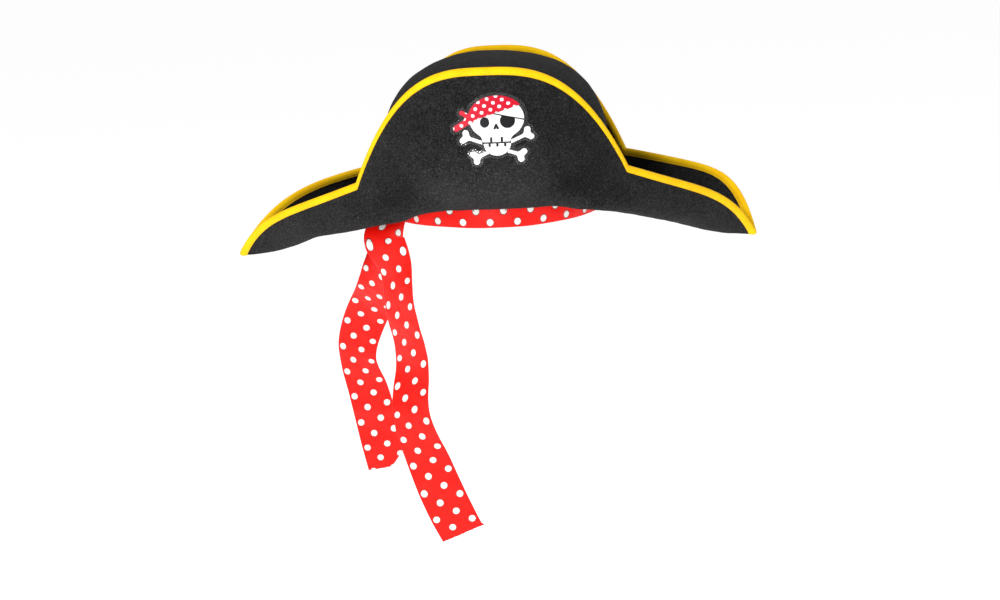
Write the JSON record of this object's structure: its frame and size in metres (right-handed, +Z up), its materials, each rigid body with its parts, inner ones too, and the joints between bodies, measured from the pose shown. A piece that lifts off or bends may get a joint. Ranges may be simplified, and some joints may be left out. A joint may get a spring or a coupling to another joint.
{
  "type": "pirate hat",
  "caption": "Black felt costume hat with folded-up flaps, yellow bound edge, skull badge, and a dotted red ribbon band with hanging tails.",
  "frame": {"origin": "middle of the head opening, in the plane where the crown is sewn to the brim", "axes": "+X from wing to wing, to the right as seen from the front; -Y towards the front flap and badge; +Z up through the crown"},
  "size_m": [0.4138, 0.2531, 0.3802],
  "materials": {
    "black_felt": "stiffened pressed felt",
    "yellow_tape": "woven bias tape",
    "yellow_thread": "twisted thread",
    "black_thread": "twisted thread",
    "red_satin": "printed polyester satin ribbon",
    "red_thread": "twisted thread",
    "white_tape": "woven label tape",
    "clear_film": "clear glossy film",
    "white_print": "printed ink under film",
    "red_print": "printed ink under film",
    "black_print": "printed ink under film"
  },
  "bodies": {
    "hat": {"felt_crown_front_right": "black_felt", "felt_crown_rear_right": "black_felt", "felt_crown_front_left": "black_felt", "felt_crown_rear_left": "black_felt", "felt_brim_flap_front_right": "black_felt", "felt_brim_flap_rear_right": "black_felt", "felt_brim_flap_front_left": "black_felt", "felt_brim_flap_rear_left": "black_felt", "felt_brim_shoulder_front_right": "black_felt", "felt_brim_shoulder_rear_right": "black_felt", "felt_brim_shoulder_front_left": "black_felt", "felt_brim_shoulder_rear_left": "black_felt", "felt_brim_wing_front_right": "black_felt", "felt_brim_wing_rear_right": "black_felt", "felt_brim_wing_front_left": "black_felt", "felt_brim_wing_rear_left": "black_felt", "edge_binding": "yellow_tape", "binding_stitches": "yellow_thread", "crown_seam_stitches": "black_thread", "ribbon_band": "red_satin", "band_stitches": "red_thread", "tail_tack_front": "red_thread", "tail_tack_rear": "red_thread", "care_label": "white_tape", "badge_film": "clear_film", "badge_skull": "white_print", "badge_bones": "white_print", "badge_kerchief": "red_print", "badge_kerchief_dots": "white_print", "badge_features": "black_print"},
    "front_tail": {"ribbon_tail_front": "red_satin"},
    "rear_tail": {"ribbon_tail_rear": "red_satin"}
  },
  "joints": [
    {"name": "front_tail_swing", "type": "hinge", "parent": "hat", "child": "front_tail", "pos_m": [-0.073, -0.0614, -0.012], "axis": [1, 0, 0], "range_deg": [-25, 0]},
    {"name": "rear_tail_swing", "type": "hinge", "parent": "hat", "child": "rear_tail", "pos_m": [-0.0897, -0.0263, -0.01], "axis": [0, 1, 0], "range_deg": [-8, 35]}
  ]
}
